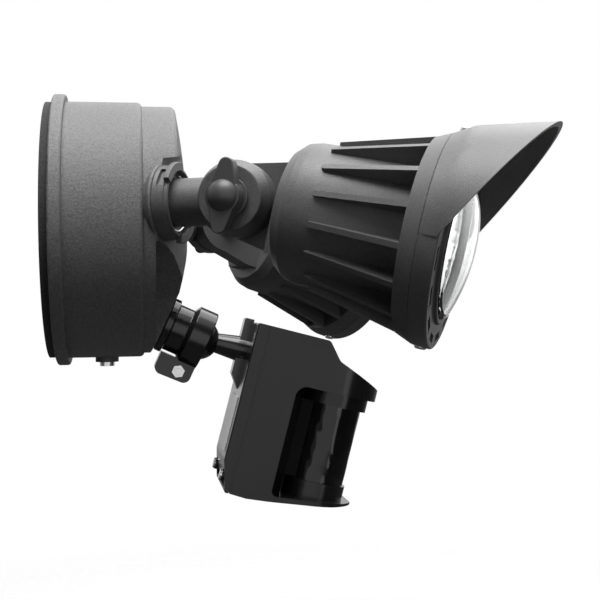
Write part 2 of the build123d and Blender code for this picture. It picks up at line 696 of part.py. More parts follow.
def oblique(sections):
    """A solid through round sections of (place along the beam, radius, height of the centre)."""
    rings = [Pos(a, 0, rise) * Rot(0, 90, 0) * Circle(r) for a, r, rise in sections]
    solid = loft(rings[:2], ruled=True)
    for pair in zip(rings[1:-1], rings[2:]):
        solid += loft(list(pair), ruled=True)
    return solid


def make_visor():
    """A hood that flares from the seam over the lens, cut by a slanted plane."""
    sections = [(SEAM_A, SEAM_R, 0.0), (BEZEL_A, VISOR_ROOT_R, VISOR_ROOT_RISE),
                (VISOR_TIP_A, VISOR_TIP_R, VISOR_TIP_RISE)]
    inner = [(a, r - VISOR_T, rise) for a, r, rise in sections]
    over = 1.0
    grow = (VISOR_TIP_R - VISOR_ROOT_R) / (VISOR_TIP_A - BEZEL_A) * over
    front = [inner[1], (VISOR_TIP_A + over, inner[2][1] + grow, VISOR_TIP_RISE)]
    shell = oblique(sections) - oblique([(SEAM_A - over, inner[0][1] - over, 0.0), *front])
    reach = 2 * VISOR_TIP_R
    slope = (VISOR_TIP_A - VISOR_CUT_A) / (VISOR_TIP_R + VISOR_TIP_RISE)
    side = [(SEAM_A, 0), (VISOR_CUT_A, 0), (VISOR_CUT_A + slope * reach, reach), (SEAM_A, reach)]
    return shell & slab(side, -reach, reach)


def make_bezel():
    """Front ring with vents in its face and a raised lip, and the visor over it."""
    lip_a = BEZEL_A + BEZEL_LIP_T
    ring = turned([(SEAM_A, LENS_R + GAP), (SEAM_A, SEAM_R), (BEZEL_A, BEZEL_R),
                   (BEZEL_A, BEZEL_LIP_R), (lip_a, BEZEL_LIP_R), (lip_a, BEZEL_OPENING_R),
                   (LENS_A + LENS_T, BEZEL_OPENING_R), (LENS_A + LENS_T, LENS_R + GAP)],
                  [0, 0.4, BEZEL_ROUND, 0.3, 0.5, 0.5, 0, 0])
    for i in range(VENT_COUNT):
        turn = Rot(360 / VENT_COUNT * (i + 0.5), 0, 0)
        ring -= turn * block(BEZEL_A - VENT_DEPTH, BEZEL_A + 1, -VENT_LENGTH / 2, VENT_LENGTH / 2,
                             VENT_R - VENT_WIDTH / 2, VENT_R + VENT_WIDTH / 2)
    ring += make_visor()
    hole_r = BEZEL_SCREW_R + THREAD_GAP
    for angle, rise in BEZEL_SCREWS:
        seat = SEAM_R + rise
        ring -= Rot(-angle, 0, 0) * upright_rod(seat, seat + 10, BEZEL_HEAD_R + GAP, BEZEL_SCREW_A)
        ring -= Rot(-angle, 0, 0) * upright_rod(seat - BEZEL_SCREW_LENGTH, seat + 1, hole_r, BEZEL_SCREW_A)
    return ring


def make_bezel_screws():
    """Small round-headed screws set radially in the bezel."""
    screws = []
    for angle, rise in BEZEL_SCREWS:
        seat = SEAM_R + rise
        screw = upright_rod(seat, seat + BEZEL_HEAD_T, BEZEL_HEAD_R, BEZEL_SCREW_A)
        screw = fillet(screw.edges().sort_by(Axis.Z)[-1], 1.2)
        screw += upright_rod(seat - BEZEL_SCREW_LENGTH, seat, BEZEL_SCREW_R, BEZEL_SCREW_A)
        screws.append(Rot(-angle, 0, 0) * screw)
    return screws


# ---- sensor arm, in the socket's frame ---------------------------------------
def make_sensor_nut():
    """Round lock nut with notches, against the seal."""
    start, end = SENSOR_SEAL_T, SENSOR_SEAL_T + NUT_T
    bore = THREAD_R + FIT
    nut = turned([(start, bore), (start, NUT_R), (end, NUT_R), (end, bore)], [0, 0.5, 0.5, 0])
    for i in range(8):
        nut -= Rot(45 * i + 20, 0, 0) * block(start + 0.6, end - 0.6, -1.8, 1.8, NUT_R - 1.0, NUT_R + 1)
    return nut


def make_sensor_seal():
    """Flat ring between the nut and the canopy."""
    return rod(0, SENSOR_SEAL_T, NUT_R - 0.7) - rod(-1, SENSOR_SEAL_T + 1, THREAD_R + GAP)


def ear_outline():
    """Side view of the clamp's ears, with round corners."""
    top = -SOCKET_R - 1.0
    return [(EAR_START, top), (EAR_END, top), (EAR_END, EAR_BOTTOM + 0.6), (EAR_START, EAR_BOTTOM)]


def make_socket():
    """Threaded socket: neck, clamp collar split underneath, and two ears."""
    tail = -HUB_WALL - JAM_T - 3
    body = turned([(tail, 0), (tail, THREAD_R), (SOCKET_START, THREAD_R), (SOCKET_START, SOCKET_R),
                   (CLAMP_START, SOCKET_R), (CLAMP_SHOULDER, CLAMP_R), (CLAMP_END, CLAMP_R), (CLAMP_END, 0)],
                  [0, 0.6, 0, 0.5, 0.8, 0.6, 0.8, 0])
    ears = slab(ear_outline(), -EAR_T / 2, EAR_T / 2, [0, 0, EAR_ROUND, EAR_ROUND])
    link = block(CLAMP_SHOULDER, EAR_END, -EAR_T / 2, EAR_T / 2, -SOCKET_R - 2, -BALL_R)
    body += ears + link
    body -= Pos(BALL_S, 0, 0) * Sphere(BALL_R + FIT)
    body -= rod(BALL_S, CLAMP_END + 1, MOUTH_R)
    body -= rod(tail - 1, BALL_S - BALL_R + 3, WIRE_R)
    slit = block(CLAMP_START - 4, CLAMP_END + 5, -EAR_SLIT / 2, EAR_SLIT / 2, EAR_BOTTOM - 5, 0)
    slit += block(EAR_START - 1, CLAMP_START, -EAR_SLIT / 2, EAR_SLIT / 2, EAR_BOTTOM - 5, -SOCKET_R - 0.2)
    body -= slit
    body -= cross_rod(-EAR_T, EAR_T, CLAMP_SCREW_R + THREAD_GAP, CLAMP_SCREW_S, CLAMP_SCREW_Z)
    return body


def make_clamp_screw():
    """Screw across the ears."""
    half = EAR_T / 2
    screw = cross_rod(-half - CLAMP_NUT_T - 0.6, half, CLAMP_SCREW_R, CLAMP_SCREW_S, CLAMP_SCREW_Z)
    return screw + cross_rod(half, half + 3.2, CLAMP_SCREW_R * 1.75, CLAMP_SCREW_S, CLAMP_SCREW_Z)


def make_clamp_nut():
    """Hexagonal nut on the clamp screw."""
    half = EAR_T / 2
    end = -half - CLAMP_NUT_T
    nut = Rot(0, 0, 90) * hexagon_x(0, CLAMP_NUT_T, CLAMP_NUT_R)
    nut = Pos(CLAMP_SCREW_S, end, CLAMP_SCREW_Z) * nut
    nut -= cross_rod(end - 1, end + 0.7, CLAMP_SCREW_R * 1.4, CLAMP_SCREW_S, CLAMP_SCREW_Z)
    return nut - cross_rod(end - 1, -half + 1, CLAMP_SCREW_R + THREAD_GAP, CLAMP_SCREW_S, CLAMP_SCREW_Z)


# ---- sensor head, in the head's frame -----------------------------------------
def make_ball():
    """Ball with a small wire hole across its back."""
    return Sphere(BALL_R) - rod(-BALL_R - 1, -BALL_R + 6, WIRE_R - 2)


def make_stem():
    """Tapered stem that sits on the ball, and the bracket on the head's back."""
    seat_r = BALL_R + FIT
    near = (seat_r**2 - STEM_R**2) ** 0.5
    middle = (seat_r**2 - STEM_R**2 / 4) ** 0.5
    sides = Polyline((near, 0, STEM_R), (BRACKET_START, 0, STEM_END_R), (BRACKET_START, 0, 0), (seat_r, 0, 0))
    seat = ThreePointArc((seat_r, 0, 0), (middle, 0, STEM_R / 2), (near, 0, STEM_R))
    stem = revolve(make_face(Wire([*sides.edges(), seat])), Axis.X, 360)
    outline = [(BRACKET_START, BRACKET_LOW[0]), (BRACKET_START, BRACKET_TOP), (BACK_START, BRACKET_TOP),
               (BACK_START, BRACKET_LOW[1])]
    stem += slab(outline, -BRACKET_HALF, BRACKET_HALF, [1.0, 1.0, 0, 0])
    return stem + rod(BRACKET_START, BACK_START, STEM_END_R)


def plan_prism(inset, low, high):
    """The head seen from above, straight sides and a round nose, between two heights."""
    half = HEAD_HALF - inset
    corner = HEAD_ROUND
    outline = FilletPolyline((NOSE_CENTRE, -half), (BACK_START + inset, -half), (BACK_START + inset, half),
                             (NOSE_CENTRE, half), radius=corner)
    nose = ThreePointArc((NOSE_CENTRE, half), (NOSE_CENTRE + half, 0), (NOSE_CENTRE, -half))
    return Pos(0, 0, low) * extrude(make_face(outline + nose), amount=high - low)


def niche():
    """The opening round the lens, seen from above, from the lip to the hood."""
    core = PIR_CENTRE - RING_OVER_R - GAP
    points = [(WINDOW_START, HEAD_HALF + 1), (WINDOW_START, HEAD_HALF), (core, 10), (core, -10),
              (WINDOW_START, -HEAD_HALF), (WINDOW_START, -HEAD_HALF - 1), (HOOD_TIP[0] + 5, -HEAD_HALF - 1),
              (HOOD_TIP[0] + 5, HEAD_HALF + 1)]
    face = make_face(Polyline(*points, close=True))
    space = Pos(0, 0, LIP_BACK) * extrude(face, amount=HOOD_UNDER - LIP_BACK)
    front = HOOD_TIP[0] + 5
    side = [(WINDOW_START, LIP_BACK), (WINDOW_START, HOOD_UNDER), (front, HOOD_UNDER), (front, LIP_FRONT)]
    return space & slab(side, -HEAD_HALF - 1, HEAD_HALF + 1, [WINDOW_ROUND / 2, WINDOW_ROUND, 0, 0])


def make_saddle():
    """Wall between the two rings, hollowed to the curved lens's back."""
    core = PIR_CENTRE - RING_OVER_R - GAP
    low, high = LENS_BOTTOM + 0.1, LENS_TOP - 0.1
    wall = block(core - 1, PIR_CENTRE - SADDLE_REACH, -SADDLE_HALF, SADDLE_HALF, low, high)
    return wall - upright_rod(low - 1, high + 1, PIR_R + 0.1, PIR_CENTRE)


def make_shell():
    """Front shell with a hood over the lens and a lip below it."""
    side = [(SHELL_START, HEAD_BOTTOM), (SHELL_START, HEAD_TOP), (TOP_END, HEAD_TOP), BROW, HOOD_TIP,
            *SHELL_BOTTOM[::-1]]
    shell = slab(side, -HEAD_HALF - 1, HEAD_HALF + 1, [0, 0, 3.0, 5.0, 0, 0.8, 6.0, 6.0, 6.0, 4.0])
    shell &= plan_prism(0, HEAD_BOTTOM - 1, HEAD_TOP + 1)
    shell -= niche()
    shell += make_saddle()
    wall = SHELL_WALL
    inner = HEAD_HALF - wall
    shell -= block(SHELL_START - 1, WINDOW_START - wall, -inner, inner, HEAD_BOTTOM + wall, HEAD_TOP - wall)
    for y in (-1, 1):
        for z in (HEAD_BOTTOM + SCREW_INSET, HEAD_TOP - SCREW_INSET):
            shell += rod(SHELL_START, WINDOW_START - 1, 3.2, y * (HEAD_HALF - 5), z)
            shell -= rod(SHELL_START - 1, SHELL_START + 12, SHELL_SCREW_R + THREAD_GAP, y * (HEAD_HALF - 5), z)
        for z in BOARD_POSTS:
            shell += rod(HEAD_BOARD_F + HEAD_BOARD_T, WINDOW_START - 1, 2.0, y * 12, z)
    shell -= rod(WINDOW_START - wall - 1, PIR_CENTRE, WIRE_R, 0, DETECTOR_Z)
    for y in dial_places():
        shell -= upright_rod(HEAD_BOTTOM - 1, HEAD_BOTTOM + wall + 1, DIAL_R + GAP, DIAL_F, y)
    return shell


def dial_places():
    """Where the three dials sit across the head."""
    return (-DIAL_SPACING, 0.0, DIAL_SPACING)


def make_back():
    """Back cover, a shallow tray with screw holes."""
    side = [(SHELL_START, HEAD_BOTTOM), (BACK_CHAMFER[0], HEAD_BOTTOM), (BACK_START, BACK_CHAMFER[1]),
            (BACK_START, HEAD_TOP), (SHELL_START, HEAD_TOP)]
    back = slab(side, -HEAD_HALF - 1, HEAD_HALF + 1, [0, 1.0, 4.0, 1.5, 0])
    back &= plan_prism(0, HEAD_BOTTOM - 1, HEAD_TOP + 1)
    half = HEAD_HALF - SEAM_DEPTH
    groove = block(SHELL_START - SEAM_WIDTH, SHELL_START + 1, -HEAD_HALF - 1, HEAD_HALF + 1, HEAD_BOTTOM - 1,
                   HEAD_TOP + 1)
    groove -= block(BACK_START, SHELL_START + 2, -half, half, HEAD_BOTTOM + SEAM_DEPTH, HEAD_TOP - SEAM_DEPTH)
    back -= groove
    inner = HEAD_HALF - SHELL_WALL
    back -= block(BACK_START + SHELL_WALL, SHELL_START + 1, -inner, inner, HEAD_BOTTOM + SHELL_WALL,
                  HEAD_TOP - SHELL_WALL)
    for y in (-1, 1):
        for z in (HEAD_BOTTOM + SCREW_INSET, HEAD_TOP - SCREW_INSET):
            back += rod(BACK_START + 1, SHELL_START, 3.2, y * (HEAD_HALF - 5), z)
            back -= rod(BACK_START - 1, BACK_START + 1.6, SHELL_SCREW_R * 2, y * (HEAD_HALF - 5), z)
            back -= rod(BACK_START, SHELL_START + 1, SHELL_SCREW_R + THREAD_GAP, y * (HEAD_HALF - 5), z)
    return back


def make_shell_screws():
    """Four screws from the back cover into the shell."""
    screws = []
    for y in (-1, 1):
        for z in (HEAD_BOTTOM + SCREW_INSET, HEAD_TOP - SCREW_INSET):
            place = (y * (HEAD_HALF - 5), z)
            screws.append(rod(BACK_START, BACK_START + 1.6, SHELL_SCREW_R * 1.9, *place)
                          + rod(BACK_START + 1.6, SHELL_START + 10, SHELL_SCREW_R, *place))
    return screws


def make_label():
    """Thin blank plate on the back cover."""
    return block(BACK_START - LABEL_T, BACK_START, -LABEL_HALF, LABEL_HALF, BACK_CHAMFER[1] + 3, LABEL_TOP)


def make_ring(r, low, high):
    """A ring at one end of the sensor's lens."""
    ring = upright_rod(low, high, r, PIR_CENTRE) - upright_rod(low - 1, high + 1, PIR_R - 3, PIR_CENTRE)
    return ring


def make_bottom_ring():
    """The lower ring, cut to the slope of the lip."""
    ring = make_ring(RING_UNDER_R, LIP_BACK, LENS_BOTTOM)
    front = HOOD_TIP[0] + 5
    low = LIP_BACK - 5
    side = [(WINDOW_START, LIP_BACK), (front, LIP_FRONT), (front, low), (WINDOW_START, low)]
    return ring - slab(side, -HEAD_HALF, HEAD_HALF)


def make_pir_lens():
    """Curved dark lens, open at its back."""
    tube = upright_rod(LENS_BOTTOM, LENS_TOP, PIR_R, PIR_CENTRE)
    tube -= upright_rod(LENS_BOTTOM - 1, LENS_TOP + 1, PIR_R - PIR_WALL, PIR_CENTRE)
    return tube - block(PIR_CENTRE - PIR_R - 1, PIR_CENTRE - 8, -8, 8, LENS_BOTTOM - 1, LENS_TOP + 1)


def make_head_board():
    """Circuit board in the head, seated on the shell's posts."""
    f = HEAD_BOARD_F
    return block(f, f + HEAD_BOARD_T, -HEAD_BOARD_HALF, HEAD_BOARD_HALF, *HEAD_BOARD_Z)


def make_detector():
    """Infrared detector: a small can on its pins, looking out through the lens."""
    start = HEAD_BOARD_F + HEAD_BOARD_T
    back, middle, front = [PIR_CENTRE + span for span in CAN_SPAN]
    can = rod(middle, front, CAN_R, 0, DETECTOR_Z) + rod(back, middle, CAN_FLANGE_R, 0, DETECTOR_Z)
    for y, z in ((-PIN_OFFSET, 0), (PIN_OFFSET, 0), (0, PIN_OFFSET)):
        can += rod(start, back + 0.1, PIN_R, y, DETECTOR_Z + z)
    return can


def make_dial(y):
    """Small screwdriver dial under the head."""
    base = HEAD_BOTTOM
    top = base + SHELL_WALL + 0.1
    dial = upright_rod(base + 0.2, top, DIAL_R, DIAL_F, y)
    dial += upright_rod(top, top + 1.4, DIAL_R + 1.0, DIAL_F, y)
    return dial - block(DIAL_F - DIAL_R + 1, DIAL_F + DIAL_R - 1, y - 0.6, y + 0.6, base - 1, base + 1.4)


# ---- write every sub-part ------------------------------------------------------
def write_canopy():
    save("canopy", make_canopy())
    save("wall_gasket", make_gasket())
    save("mounting_plate", make_plate())
    save("ground_screw", make_ground_screw())
    save("lock_screw", make_lock_screw())
    save("led_driver", make_driver())
    save("driver_screws", make_driver_screws())


def write_lamp(name, side):
    arm, lamp = arm_place(side), lamp_place(side)
    save(f"{name}_swivel_collar", make_collar(side), arm)
    save(f"{name}_arm_seal", make_seal(), arm)
    save(f"{name}_arm", make_arm(side), arm)
    save(f"{name}_jam_nut", make_jam_nut(), arm)
    save(f"{name}_knuckle_washer", make_washer(), lamp)
    save(f"{name}_knuckle_bolt", make_bolt(side), lamp)
    save(f"{name}_wing_knob", make_knob(side), arm * Pos(ARM_REACH, 0, 0))
    save(f"{name}_lamp_housing", make_housing(side), lamp)
    save(f"{name}_led_board", make_board(), lamp)
    save(f"{name}_reflector", make_reflector(), lamp)
    save(f"{name}_lens_gasket", make_lens_gasket(), lamp)
    save(f"{name}_lens", make_lens(), lamp)
    save(f"{name}_bezel", make_bezel(), lamp)
    save(f"{name}_bezel_screws", [lamp * s for s in make_bezel_screws()])


def write_sensor():
    arm, head = sensor_place(), head_place()
    save("sensor_seal", make_sensor_seal(), arm)
    save("sensor_nut", make_sensor_nut(), arm)
    save("sensor_socket", make_socket(), arm)
    save("sensor_jam_nut", make_jam_nut(), arm)
    save("clamp_screw", make_clamp_screw(), arm)
    save("clamp_nut", make_clamp_nut(), arm)
    save("sensor_ball", make_ball(), head)
    save("sensor_stem", make_stem(), head)
    save("sensor_back", make_back(), head)
    save("sensor_label", make_label(), head)
    save("sensor_shell", make_shell(), head)
    save("shell_screws", [head * s for s in make_shell_screws()])
    save("lens_ring_top", make_ring(RING_OVER_R, LENS_TOP, HOOD_UNDER), head)
    save("lens_ring_bottom", make_bottom_ring(), head)
    save("pir_lens", make_pir_lens(), head)
    save("sensor_board", make_head_board(), head)
    save("pir_detector", make_detector(), head)
    for name, y in zip(("time_dial", "light_dial", "range_dial"), dial_places()):
        save(name, make_dial(y), head)


write_canopy()
write_lamp("left", -1)
write_lamp("right", 1)
write_sensor()
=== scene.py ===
"""Looks of the outdoor security light: coats, plastics, lens optics, camera and studio light."""

import json
from math import cos, pi, radians, sin

import bmesh
import bpy
import numpy as np
from mathutils import Matrix, Vector


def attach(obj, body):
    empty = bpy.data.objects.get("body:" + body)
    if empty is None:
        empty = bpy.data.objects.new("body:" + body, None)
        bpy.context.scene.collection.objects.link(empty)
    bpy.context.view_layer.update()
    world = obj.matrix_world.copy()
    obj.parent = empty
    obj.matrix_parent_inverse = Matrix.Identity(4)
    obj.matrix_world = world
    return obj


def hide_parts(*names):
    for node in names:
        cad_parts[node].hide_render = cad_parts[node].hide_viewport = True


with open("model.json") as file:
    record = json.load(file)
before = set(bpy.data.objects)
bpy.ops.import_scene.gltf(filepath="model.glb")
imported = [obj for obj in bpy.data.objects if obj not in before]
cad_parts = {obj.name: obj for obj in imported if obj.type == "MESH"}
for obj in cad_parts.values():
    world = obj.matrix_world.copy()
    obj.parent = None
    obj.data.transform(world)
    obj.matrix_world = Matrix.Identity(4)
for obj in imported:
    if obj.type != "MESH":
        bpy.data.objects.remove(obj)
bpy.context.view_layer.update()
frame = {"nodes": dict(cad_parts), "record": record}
NODES = frame["nodes"]
MM = 0.001
GLOSS_LOW = 0.03      # how much of the white studio gloss sees below
GLOSS_SIDE = 0.30     # and to the sides
WELD = 0.0000005      # points nearer than this are one, in metres


# ---- nodes --------------------------------------------------------------------
class Wire:
    """One socket of a node tree, with arithmetic that adds Math nodes."""

    def __init__(self, tree, socket):
        self.tree = tree
        self.socket = socket

    def _math(self, operation, *values):
        return self.tree.node("ShaderNodeMath", {"operation": operation}, list(values))

    def __add__(self, other):
        return self._math("ADD", self, other)

    def __sub__(self, other):
        return self._math("SUBTRACT", self, other)

    def __mul__(self, other):
        return self._math("MULTIPLY", self, other)

    def __rsub__(self, other):
        return self._math("SUBTRACT", other, self)

    __radd__ = __add__
    __rmul__ = __mul__

    def larger(self, other):
        return self._math("MAXIMUM", self, other)

    def ramp(self, low, high):
        """0 below low, 1 above high, smooth between."""
        return self.tree.node("ShaderNodeMapRange", {"interpolation_type": "SMOOTHSTEP"},
                              [self, low, high, 0.0, 1.0])


class Tree:
    """A node tree, emptied, whose nodes are all made by node()."""

    def __init__(self, node_tree):
        self.node_tree = node_tree
        self.node_tree.nodes.clear()

    def node(self, kind, settings=None, inputs=None, output=0):
        """Adds a node: settings first, then values or wires for its sockets, by index or name."""
        made = self.node_tree.nodes.new(kind)
        for key, value in (settings or {}).items():
            setattr(made, key, value)
        pairs = inputs.items() if isinstance(inputs, dict) else enumerate(inputs or [])
        for key, value in pairs:
            socket = made.inputs[key]
            if isinstance(value, Wire):
                self.node_tree.links.new(value.socket, socket)
            else:
                socket.default_value = value
        return Wire(self, made.outputs[output]) if made.outputs else None

    def rays(self, gloss):
        """1 for the camera and for glass, the given share for gloss, and 0 for bounced light."""
        camera, glass, shiny = [self.node("ShaderNodeLightPath", output=name) for name in
                                ("Is Camera Ray", "Is Transmission Ray", "Is Glossy Ray")]
        return camera + glass + shiny * gloss

    def part(self, axis, vector):
        """One component of a vector: X, Y or Z."""
        return self.node("ShaderNodeSeparateXYZ", {}, [vector], axis)


class Finish(Tree):
    """One procedural material."""

    def __init__(self, name):
        self.material = bpy.data.materials.new(name)
        self.material.use_nodes = True
        super().__init__(self.material.node_tree)
        self.place = self.node("ShaderNodeTexCoord", output="Object")

    def noise(self, scale, detail=3.0, roughness=0.6, place=None):
        return self.node("ShaderNodeTexNoise", {"noise_dimensions": "3D"},
                         {"Vector": place or self.place, "Scale": scale, "Detail": detail,
                          "Roughness": roughness})

    def cells(self, scale):
        return self.node("ShaderNodeTexVoronoi", {"voronoi_dimensions": "3D"},
                         {"Vector": self.place, "Scale": scale})

    def stretch(self, scale):
        return self.node("ShaderNodeMapping", {"vector_type": "POINT"},
                         {"Vector": self.place, "Scale": scale})

    def mix(self, factor, first, second):
        return self.node("ShaderNodeMix", {"data_type": "RGBA"}, {0: factor, 6: first, 7: second}, 2)

    def bump(self, height, distance):
        return self.node("ShaderNodeBump", {}, {"Height": height, "Distance": distance})

    def surface(self, **sockets):
        """The shader and the output. Socket names are written with underscores."""
        return self.show(self.node("ShaderNodeBsdfPrincipled", {},
                                   {key.replace("_", " "): value for key, value in sockets.items()}))

    def show(self, shader):
        self.node("ShaderNodeOutputMaterial", {}, {"Surface": shader})
        return self.material


def grey(value):
    """A neutral colour."""
    return (value, value, value, 1.0)


def powder_coat(name, base, grain, contrast, depth, roughness):
    """Sprayed coat on cast metal: fine orange-peel grain, pale specks and a slow unevenness.

    base is the mean grey, grain the grains' frequency per metre, contrast how far they differ in
    shade, depth their height in metres and roughness the mean roughness.
    """
    coat = Finish(name)
    fine = coat.noise(grain, 4.0, 0.7)
    slow = coat.noise(28.0, 2.0, 0.5)
    specks = coat.noise(grain * 1.9, 2.0, 0.5).ramp(0.60, 0.72)
    shade = (fine - 0.5) * contrast + (slow - 0.5) * 0.2 + specks * contrast * 0.2
    colour = coat.mix((shade + 0.5).ramp(0.0, 1.0), grey(base * 0.6), grey(base * 1.5))
    height = fine + specks * 0.35
    return coat.surface(Base_Color=colour, Roughness=(fine - 0.5) * 0.22 + roughness, Metallic=0.0,
                        Specular_IOR_Level=0.5, Normal=coat.bump(height, depth))


MATT_ROUGHNESS = 0.9


def moulded_plastic(name, base, roughness, grain=1600.0, depth=0.00002, shine=0.5, shaded_matt_core=0.0):
    """Injection-moulded plastic: nearly smooth, with a faint texture and slight flow unevenness.

    Side faces within the core half-width of the middle plane, as on the post behind the film, are made matt,
    and their colour is darkened as painted shade.
    Squares stand for sizes without their sign there, so that the two sides are alike.
    """
    body = Finish(name)
    fine = body.noise(grain, 2.0, 0.5)
    flow = body.noise(40.0, 3.0, 0.55)
    colour = body.mix(flow.ramp(0.3, 0.7), grey(base * 0.85), grey(base * 1.15))
    rough = (flow - 0.5) * 0.10 + roughness
    if shaded_matt_core:
        normal = body.node("ShaderNodeTexCoord", output="Normal")
        facing = body.part("Y", normal)
        across = body.part("Y", body.place)
        inside = 1 - (across * across).ramp(shaded_matt_core**2, (shaded_matt_core * 1.02)**2)
        matt_and_painted_shade = (facing * facing).ramp(0.7, 0.8) * inside
        # painted shade: these side faces get a much darker colour, besides the matt roughness
        colour = body.mix(matt_and_painted_shade, colour, grey(base * 0.2))
        rough = matt_and_painted_shade * (MATT_ROUGHNESS - roughness) + rough
    return body.surface(Base_Color=colour, Roughness=rough,
                        Specular_IOR_Level=shine, Normal=body.bump(fine, depth))


def turned_steel(name, base, roughness, scale=(400.0, 400.0, 3000.0)):
    """Bright steel with short drawn lines."""
    steel = Finish(name)
    lines = steel.noise(1.0, 3.0, 0.6, place=steel.stretch(scale))
    colour = steel.mix(lines.ramp(0.3, 0.7), grey(base * 0.85), grey(base))
    return steel.surface(Base_Color=colour, Metallic=1.0, Roughness=(lines - 0.5) * 0.2 + roughness,
                         Normal=steel.bump(lines, 0.000012))


def foam_rubber(name, base):
    """Closed-cell foam: small pits and a matt surface."""
    foam = Finish(name)
    pits = foam.cells(900.0)
    colour = foam.mix(pits.ramp(0.0, 0.6), grey(base * 0.5), grey(base * 1.3))
    return foam.surface(Base_Color=colour, Roughness=MATT_ROUGHNESS, Normal=foam.bump(pits, 0.00012))


def clear_lens(name):
    """Clear glass with the faintest ripple of a pressing."""
    glass = Finish(name)
    ripple = glass.noise(60.0, 2.0, 0.4)
    return glass.surface(Base_Color=(0.97, 0.98, 0.98, 1.0), Roughness=0.03, IOR=1.49,
                         Transmission_Weight=1.0, Normal=glass.bump(ripple, 0.00006))


def bright_reflector(name):
    """Vacuum-coated reflector with a light peened texture."""
    mirror = Finish(name)
    dimples = mirror.cells(520.0)
    return mirror.surface(Base_Color=mirror.mix(dimples.ramp(0.0, 0.7), grey(0.86), grey(0.93)), Metallic=1.0,
                          Roughness=dimples * 0.12 + 0.16, Normal=mirror.bump(dimples, 0.00008))


def led_face(name):
    """White solder mask with a faint fibre weave below."""
    board = Finish(name)
    weave = board.noise(700.0, 2.0, 0.5)
    colour = board.mix(weave.ramp(0.35, 0.65), (0.80, 0.80, 0.78, 1.0), (0.88, 0.88, 0.86, 1.0))
    return board.surface(Base_Color=colour, Roughness=weave * 0.1 + 0.4, Normal=board.bump(weave, 0.00001))


def phosphor(name):
    """Pale yellow phosphor gel over the chips."""
    gel = Finish(name)
    grain = gel.noise(1500.0, 2.0, 0.5)
    colour = gel.mix(grain.ramp(0.3, 0.7), (0.82, 0.74, 0.36, 1.0), (0.90, 0.83, 0.48, 1.0))
    return gel.surface(Base_Color=colour, Roughness=0.35, Normal=gel.bump(grain, 0.00001))


def solder_mask(name):
    """Green circuit board with darker tracks."""
    board = Finish(name)
    tracks = board.node("ShaderNodeTexBrick", {"offset": 0.35},
                        {"Vector": board.place, "Scale": 90.0, "Mortar Size": 0.03, "Color1": (1, 1, 1, 1),
                         "Color2": (1, 1, 1, 1), "Mortar": (0, 0, 0, 1)}, 1)
    colour = board.mix(tracks, (0.02, 0.14, 0.06, 1.0), (0.04, 0.22, 0.09, 1.0))
    return board.surface(Base_Color=colour, Roughness=0.35, Normal=board.bump(tracks, 0.00003))


def dark_film(name):
    """Dark infrared film: glossy, with slow vertical waves left by moulding."""
    film = Finish(name)
    waves = film.noise(1.0, 2.0, 0.45, place=film.stretch((70.0, 70.0, 24.0)))
    colour = film.mix(waves.ramp(0.3, 0.7), grey(0.008), grey(0.012))
    return film.surface(Base_Color=colour, Roughness=(waves - 0.5) * 0.04 + 0.07, Specular_IOR_Level=0.4,
                        Coat_Weight=waves * 0.1, Normal=film.bump(waves, 0.003))


def satin_plate(name):
    """Bare satin label plate, brushed along its height."""
    plate = Finish(name)
    lines = plate.noise(1.0, 3.0, 0.6, place=plate.stretch((2200.0, 2200.0, 160.0)))
    colour = plate.mix(lines.ramp(0.3, 0.7), grey(0.88), grey(0.95))
    return plate.surface(Base_Color=colour, Metallic=0.1, Roughness=lines * 0.15 + 0.30,
                         Normal=plate.bump(lines, 0.00001))


POST_HALF = 0.010     # half the width of the post behind the sensor's film, in metres

COATS = {
    "canopy_coat": powder_coat("canopy_powder_coat", base=0.145, grain=900.0, contrast=1.5,
                               depth=0.00035, roughness=0.52),
    "arm_coat": powder_coat("arm_powder_coat", base=0.105, grain=1100.0, contrast=0.8,
                            depth=0.00014, roughness=0.44),
    "lamp_coat": powder_coat("housing_powder_coat", base=0.11, grain=1200.0, contrast=0.7,
                             depth=0.00012, roughness=0.42),
    "bezel_coat": powder_coat("bezel_powder_coat", base=0.11, grain=1200.0, contrast=0.7,
                              depth=0.00012, roughness=0.42),
    "knob_plastic": moulded_plastic("knob_satin", 0.075, 0.42, grain=1100.0, depth=0.00005),
    "black_rubber": foam_rubber("foam_seal", 0.03),
    "stainless": turned_steel("stainless_screws", 0.68, 0.25),
    "zinc_steel": turned_steel("zinc_plated_steel", 0.56, 0.38, (260.0, 900.0, 260.0)),
    "green_screw": moulded_plastic("green_lacquer", 0.1, 0.4),
    "washer_nylon": moulded_plastic("natural_nylon", 0.6, 0.5),
    "led_board": led_face("white_led_board"),
    "reflector_bright": bright_reflector("bright_reflector"),
    "lens_glass": clear_lens("clear_lens"),
    "driver_case": moulded_plastic("driver_case", 0.04, 0.5),
    "sensor_arm_plastic": moulded_plastic("sensor_arm_black", 0.020, 0.18),
    # the post behind the film is made matt, and its colour is darkened as painted shade
    "sensor_plastic": moulded_plastic("sensor_case_black", 0.019, 0.20, shine=0.38,
                                      shaded_matt_core=POST_HALF + 0.0005),
    "blank_label": satin_plate("blank_plate"),
    "circuit_board": solder_mask("circuit_board_green"),
    "detector_can": turned_steel("detector_can", 0.6, 0.3),
    "dial_plastic": moulded_plastic("dial_grey", 0.4, 0.45),
    "pir_film": dark_film("infrared_film"),
}

# finishes that the record has no slot for
EXTRA = {"chip_gel": phosphor("phosphor_gel")}


# ---- CAD nodes: smooth shading and finish --------------------------------------
CAD_WELD = 0.000002   # in metres
SHARP_ANGLE = 24      # degrees between faces from which an edge stays crisp


